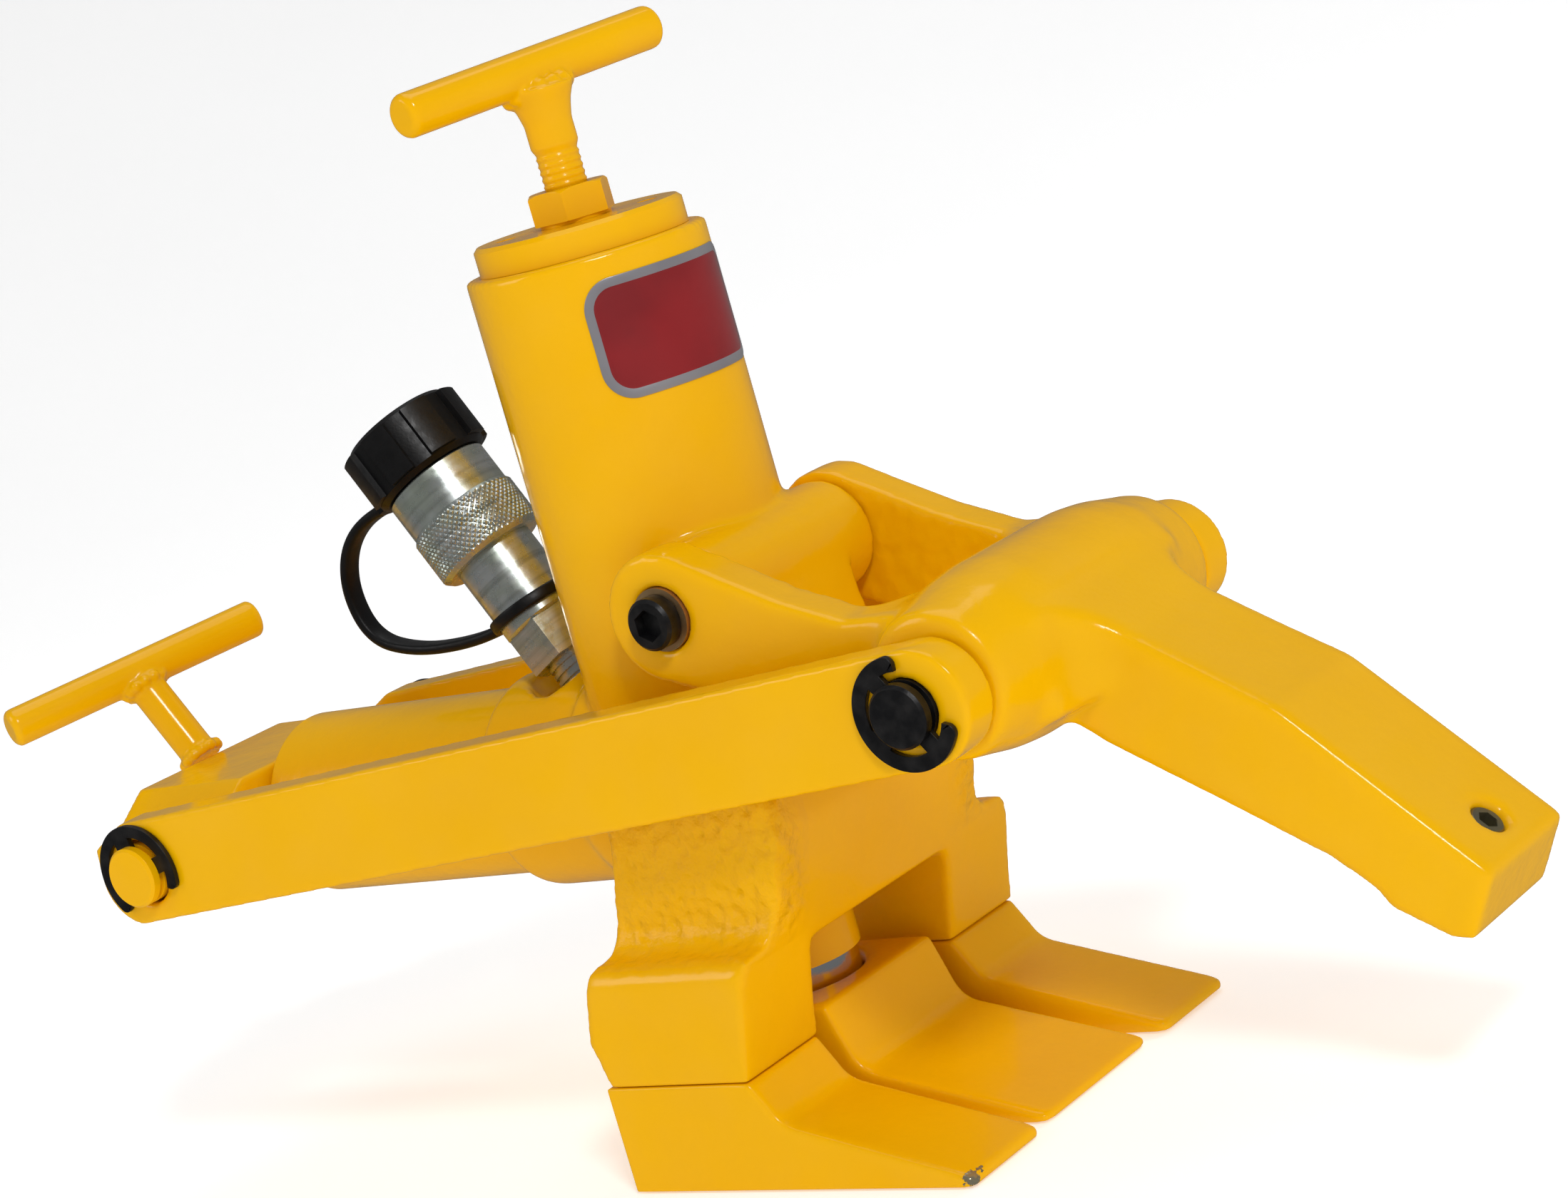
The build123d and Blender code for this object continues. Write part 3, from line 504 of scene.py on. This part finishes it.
skin("casting_skin", ["main_casting"], "frame", "paint_cast", 0.0010, casting_passes,
     depth_at=casting_lumps)
skin("claw_skin", ["claw_arm"], "claw", "paint_forged", 0.0010, claw_passes,
     depth_at=claw_lumps)
for name, body, passes in (("outer_toe_left", "frame", toe_passes), ("outer_toe_right", "frame", toe_passes),
                           ("middle_toe", "ram", middle_passes)):
    skin(name + "_skin", [name], body, "paint_toe", 0.0007, passes)
for name in ("side_bar_left", "side_bar_right"):
    skin(name + "_skin", [name], "bars", "paint_smooth", 0.0008, even(6))
skin("crosshead_skin", ["crosshead"], "crosshead", "paint_forged", 0.0008, even(6))

# welded T handles: the bar, its stem and the bead between them under one coat
bar_low, bar_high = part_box("handle_bar")
bar_mid = (bar_low + bar_high) / 2
BAR_R = 0.0064
neck = Vector(((bar_mid.x + CYLINDER_X) / 2, 0, bar_mid.z - BAR_R * 0.92))
beads = ring_of_lumps(neck, (0.0026, 0.0086, 0.0006), (0.0062, -0.0014, 0.0012), 13, 0.0026, 2.0)


THREAD_END_Z = (0.2915, 0.2960)


def top_handle_passes(p):
    """The thread stays crisp, the welded part above it is soft."""
    return 2 + 12 * ramp(p[:, 2], *THREAD_END_Z)


skin("top_handle_skin", ["handle_stud", "handle_bar"], "frame", "paint_smooth", 0.00042,
     top_handle_passes, beads)
low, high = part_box("rear_handle_bar")
rear_mid = (low + high) / 2
low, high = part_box("rear_handle_stem")
STEM_FOOT_IN = 0.0052
STEM_FOOT_UP = 0.0035
stem_foot = Vector((high.x - STEM_FOOT_IN, 0, low.z + STEM_FOOT_UP))
stem_line = (rear_mid - stem_foot).normalized()
side = Vector((0, 1, 0))
front = stem_line.cross(side)
NECK_DOWN = 0.0058
BEAD_R = 0.0021
STEM_BEADS = 12
neck = rear_mid - stem_line * NECK_DOWN
beads = ring_of_lumps(neck, side * 0.0072, front * 0.0060, STEM_BEADS, BEAD_R, 5.0)
beads += ring_of_lumps(stem_foot, side * BAR_R, front * BAR_R, STEM_BEADS, BEAD_R, 8.0)
skin("rear_handle_skin", ["rear_handle_stem", "rear_handle_bar"], "crosshead", "paint_smooth",
     0.0005, even(9), beads)


# ---------------------------------------------------------------- edges of the machined parts
EDGE_ANGLE = math.radians(35)


def broken_edges(name, width):
    """Small bevels on the sharp edges of a CAD node, with flat faces kept flat."""
    piece = nodes[name]
    normals = piece.data.attributes.get("custom_normal")
    if normals is not None:
        piece.data.attributes.remove(normals)
    piece.modifiers.new("weld", "WELD").merge_threshold = 0.00001
    bevel = piece.modifiers.new("edge", "BEVEL")
    bevel.width = width
    bevel.segments = 2
    bevel.limit_method = "ANGLE"
    bevel.angle_limit = EDGE_ANGLE
    weighted = piece.modifiers.new("flat", "WEIGHTED_NORMAL")
    weighted.keep_sharp = False
    weighted.weight = 100
    for polygon in piece.data.polygons:
        polygon.use_smooth = True


for name, width in (("cylinder_cap", 0.0005), ("handle_lock_nut", 0.0005),
                    ("front_pin", 0.0003), ("rear_pin", 0.0003),
                    ("dust_cap", 0.0006), ("coupler_body", 0.0004), ("clamp_barrel", 0.0006),
                    ("front_clip_left", 0.0002), ("front_clip_right", 0.0002),
                    ("rear_clip_left", 0.0002), ("rear_clip_right", 0.0002)):
    broken_edges(name, width)

# ---------------------------------------------------------------- coupler
PORT_FOOT = Vector((-0.0349, 0, 0.131))
PORT_REAR = Vector((-math.cos(PORT_TILT), 0, -math.sin(PORT_TILT)))


def on_port(along, radius, angle):
    """A point round the port axis."""
    return PORT_FOOT + PORT_AXIS * along + (PORT_REAR * math.cos(angle) + side * math.sin(angle)) * radius


def new_piece(name, verts, faces, look, body):
    data = bpy.data.meshes.new(name)
    data.from_pydata([tuple(v) for v in verts], [], faces)
    data.validate()
    data.materials.append(LOOKS[look])
    for polygon in data.polygons:
        polygon.use_smooth = True
    piece = bpy.data.objects.new(name, data)
    scene.collection.objects.link(piece)
    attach(piece, body)
    return piece


def wave(x):
    """A triangle wave from 0 to 1."""
    return abs((x % 1.0) * 2 - 1)


COLLAR = (0.0500, 0.0790)       # its ends along the port axis
COLLAR_BORE_R = 0.01266
COLLAR_MOUTH_R = 0.0142
COLLAR_MOUTH = 0.0701           # where the wider mouth starts
COLLAR_SMOOTH_R = 0.0166
KNURL = (0.0517, 0.0652)
KNURL_R = 0.0175
KNURL_ROOT_R = 0.0172
KNURL_DEPTH = 0.00050
KNURL_PITCH = 0.0021
KNURL_TEETH = 54


def build_collar():
    """The knurled sleeve: outside from its lower edge to the smooth top, then back down inside."""
    bottom, top = COLLAR
    rows = [(bottom, COLLAR_BORE_R, False), (bottom, 0.0158, False), (0.0513, KNURL_ROOT_R, False)]
    steps = 54
    for i in range(steps + 1):
        rows.append((KNURL[0] + (KNURL[1] - KNURL[0]) * i / steps, KNURL_R, True))
    rows += [(0.0656, KNURL_ROOT_R, False), (0.0664, COLLAR_SMOOTH_R, False),
             (top - 0.0004, COLLAR_SMOOTH_R, False), (top, 0.0162, False),
             (top, COLLAR_MOUTH_R, False), (COLLAR_MOUTH, COLLAR_MOUTH_R, False),
             (COLLAR_MOUTH, COLLAR_BORE_R, False)]
    around = 8 * KNURL_TEETH
    verts = []
    for along, radius, knurled in rows:
        for j in range(around):
            angle = 2 * math.pi * j / around
            depth = 0
            if knurled:
                a = KNURL_TEETH * j / around + along / KNURL_PITCH
                b = KNURL_TEETH * j / around - along / KNURL_PITCH
                depth = KNURL_DEPTH * (1 - min(wave(a), wave(b)) * 1.6)
            verts.append(on_port(along, radius - max(depth, 0), angle))
    faces = []
    for i in range(len(rows)):
        k = (i + 1) % len(rows)
        for j in range(around):
            n = (j + 1) % around
            faces.append((i * around + j, k * around + j, k * around + n, i * around + n))
    piece = new_piece("knurled_collar", verts, faces, "zinc_turned", "collar")
    piece.data.set_sharp_from_angle(angle=math.radians(30))
    return piece


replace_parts(build_collar(), "coupler_collar")

STRAP_ROUTE = ((-0.0830, 0.1962), (-0.0990, 0.1945), (-0.1150, 0.1860), (-0.1215, 0.1710), (-0.1170, 0.1545),
               (-0.1000, 0.1490), (-0.0790, 0.1490), (-0.0620, 0.1520), (-0.0570, 0.1545))
STRAP_W = 0.0033        # half width, across the tool
STRAP_T = 0.0017        # half thickness
STRAP_RING = 0.0305     # the ring's place along the port axis
STRAP_RING_R = 0.0136
STRAP_RING_W = 0.0018
STRAP_RING_T = 0.00092
STRAP_RING_TILT = 0.0012


def smooth_line(points):
    """Points along a NURBS spline with the route's points as its control points."""
    curve = bpy.data.curves.new("route", "CURVE")
    curve.dimensions = "3D"
    curve.resolution_u = 14
    spline = curve.splines.new("NURBS")
    spline.points.add(len(points) - 1)
    for point, (x, z) in zip(spline.points, points):
        point.co = (x, 0, z, 1)
    spline.order_u = 3
    spline.use_endpoint_u = True
    holder = bpy.data.objects.new("route", curve)
    scene.collection.objects.link(holder)
    graph = bpy.context.evaluated_depsgraph_get()
    made = bpy.data.meshes.new_from_object(holder.evaluated_get(graph))
    line = [v.co.copy() for v in made.vertices]
    bpy.data.objects.remove(holder)
    return line


def squared(value):
    """Bends a cosine or sine so that a circle turns into a rounded square."""
    return value * abs(value) ** -0.5 if abs(value) > 0.05 else 0


def build_strap():
    """The moulded band of the dust cap and its ring round the coupler."""
    line = smooth_line(STRAP_ROUTE)
    verts = []
    faces = []
    around = 16
    turns = [2 * math.pi * k / around for k in range(around)]
    outline = [(squared(math.cos(t)), squared(math.sin(t))) for t in turns]
    for i, p in enumerate(line):
        ahead = line[min(i + 1, len(line) - 1)] - line[max(i - 1, 0)]
        ahead.normalize()
        out = ahead.cross(side)
        swell = 1 + 0.5 * max(0.0, 1 - i / 10)
        for a, b in outline:
            verts.append(p + side * (a * STRAP_W * swell) + out * (b * STRAP_T * swell))
    for i in range(len(line) - 1):
        for j in range(around):
            n = (j + 1) % around
            faces.append((i * around + j, i * around + n, (i + 1) * around + n, (i + 1) * around + j))
    faces.append(tuple(range(around))[::-1])
    faces.append(tuple(range((len(line) - 1) * around, len(line) * around)))
    start = len(verts)
    sides = 72
    for j in range(sides):
        angle = 2 * math.pi * j / sides
        for a, b in outline:
            place = STRAP_RING + STRAP_RING_W * a + STRAP_RING_TILT * math.cos(angle)
            verts.append(on_port(place, STRAP_RING_R + STRAP_RING_T * b, angle))
    for j in range(sides):
        row = start + j * around
        next_row = start + (j + 1) % sides * around
        for k in range(around):
            m = (k + 1) % around
            faces.append((row + k, next_row + k, next_row + m, row + m))
    return new_piece("cap_strap", verts, faces, "plastic", "frame")


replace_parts(build_strap(), "dust_cap_strap")

# ---------------------------------------------------------------- label
LABEL_Z = 0.233
CYLINDER = Vector((CYLINDER_X, 0, 0))
LABEL_R = 0.03505
LABEL_TURN = math.radians(-9.0)
LABEL_HALF = (0.0300, 0.0170)
LABEL_CORNER = 0.009
BORDER_LIFT = 0.00030
FIELD_LIFT = 0.00024
GROOVE_LIFT = 0.00022
BORDER_RINGS = 4        # rings of faces that are silver, counted from the edge


def build_label():
    """A film with a raised silver border round a plain red field, wrapped on the cylinder."""
    rings = [(0.0, 0.00026), (0.0001, BORDER_LIFT), (0.0024, BORDER_LIFT), (0.0026, GROOVE_LIFT),
             (0.0034, GROOVE_LIFT), (0.0035, FIELD_LIFT)]
    corner_steps = 12
    verts = []
    slots = []
    faces = []

    def outline(inset):
        half_w = LABEL_HALF[0] - inset
        half_h = LABEL_HALF[1] - inset
        r = LABEL_CORNER - inset
        pts = []
        for quarter, (sx, sy) in enumerate(((1, 1), (-1, 1), (-1, -1), (1, -1))):
            for k in range(corner_steps + 1):
                t = math.pi / 2 * (quarter + k / corner_steps)
                pts.append((sx * (half_w - r) + r * math.cos(t), sy * (half_h - r) + r * math.sin(t)))
        dense = []
        for i, p in enumerate(pts):
            q = pts[(i + 1) % len(pts)]
            cuts = 16 if (i + 1) % (corner_steps + 1) == 0 else 1
            dense += [(p[0] + (q[0] - p[0]) * c / cuts, p[1] + (q[1] - p[1]) * c / cuts) for c in range(cuts)]
        return dense

    def placed(x, y, lift):
        angle = LABEL_TURN + x / LABEL_R
        radius = LABEL_R + lift
        return CYLINDER + Vector((radius * math.cos(angle), radius * math.sin(angle), LABEL_Z + y))

    count = len(outline(0))
    for x, y in outline(0):
        verts.append(placed(x, y, 0.0))
    for inset, lift in rings:
        verts += [placed(x, y, lift) for x, y in outline(inset)]
    for i in range(len(rings)):
        for j in range(count):
            n = (j + 1) % count
            faces.append((i * count + j, i * count + n, (i + 1) * count + n, (i + 1) * count + j))
            slots.append(0 if i < BORDER_RINGS else 1)
    base = outline(rings[-1][0])
    start = len(rings) * count
    for shrink in (0.85, 0.68, 0.5, 0.32, 0.15):
        begin = len(verts)
        verts += [placed(x * shrink, y * shrink, FIELD_LIFT) for x, y in base]
        for j in range(count):
            n = (j + 1) % count
            faces.append((start + j, start + n, begin + n, begin + j))
            slots.append(1)
        start = begin
    verts.append(placed(0, 0, FIELD_LIFT))
    for j in range(count):
        faces.append((start + j, start + (j + 1) % count, len(verts) - 1))
        slots.append(1)
    piece = new_piece("label", verts, faces, "silver_film", "frame")
    piece.data.materials.append(LOOKS["red_film"])
    for polygon, slot_no in zip(piece.data.polygons, slots):
        polygon.material_index = slot_no
    return piece


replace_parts(build_label(), "front_label")

# ---------------------------------------------------------------- floor and light
FLOOR_R = 5.0
FLAT_R = 1.6
FLOOR_GAP = 0.0006      # how far it lies under the soles
WALL_TOP = 2.6


def build_floor():
    """A flat floor that curves up into a wall all round."""
    rings = 48
    sides = 96
    mesh = bmesh.new()
    rows = []
    for i in range(rings + 1):
        r = FLOOR_R * i / rings
        rise = max(0.0, r - FLAT_R) / (FLOOR_R - FLAT_R)
        z = -FLOOR_GAP + WALL_TOP * rise ** 2.4
        angles = [2 * math.pi * j / sides for j in range(sides if i else 1)]
        rows.append([mesh.verts.new((r * math.cos(t), r * math.sin(t), z)) for t in angles])
    for i in range(1, rings):
        for j in range(sides):
            k = (j + 1) % sides
            mesh.faces.new((rows[i][j], rows[i + 1][j], rows[i + 1][k], rows[i][k]))
    for j in range(sides):
        mesh.faces.new((rows[0][0], rows[1][j], rows[1][(j + 1) % sides]))
    data = bpy.data.meshes.new("floor")
    mesh.to_mesh(data)
    mesh.free()
    for polygon in data.polygons:
        polygon.use_smooth = True
    floor = bpy.data.objects.new("floor", data)
    scene.collection.objects.link(floor)
    s = Shader("floor", (0.86, 0.86, 0.86), 0.0, 0.75)
    s.set("Emission Color", (1, 1, 1, 1))
    s.set("Emission Strength", 0.40)
    s.feed(s.blend(s.noise(3, 2), (0.85, 0.85, 0.85), (0.88, 0.88, 0.88)), "Base Color")
    data.materials.append(s.material)
    return floor


floor = build_floor()
floor.visible_glossy = False
floor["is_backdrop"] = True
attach(floor, "ram")

world = bpy.data.worlds.new("studio")
world.use_nodes = True
world.node_tree.nodes["Background"].inputs[0].default_value = (1, 1, 1, 1)
world.node_tree.nodes["Background"].inputs[1].default_value = 0.15
scene.world = world


def softbox(name, at, toward, size, watts, mirrored=True):
    """An area lamp. One that isn't mirrored lights the paint but leaves no reflection on it."""
    data = bpy.data.lights.new(name, "AREA")
    data.shape = "RECTANGLE"
    data.size, data.size_y = size
    data.energy = watts
    lamp = bpy.data.objects.new(name, data)
    lamp.visible_camera = False
    lamp.visible_glossy = mirrored
    lamp.location = at
    lamp.rotation_mode = "QUATERNION"
    lamp.rotation_quaternion = (Vector(toward) - Vector(at)).to_track_quat("-Z", "Y")
    scene.collection.objects.link(lamp)


softbox("key", (1.6, -1.3, 2.0), (0, 0, 0.12), (0.45, 0.45), 30)
softbox("fill", (-1.6, -1.6, 1.3), (0, 0, 0.12), (0.9, 0.9), 6.5)
softbox("top", (-0.2, 0.4, 2.4), (0, 0, 0.1), (1.8, 1.8), 12.5)
softbox("rim", (0.6, 2.0, 1.4), (0, 0, 0.15), (1.0, 0.6), 7, mirrored=False)
softbox("back", (-1.1, 2.4, 2.4), (0, 0, 0.15), (2.4, 1.0), 16, mirrored=False)

low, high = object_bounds()
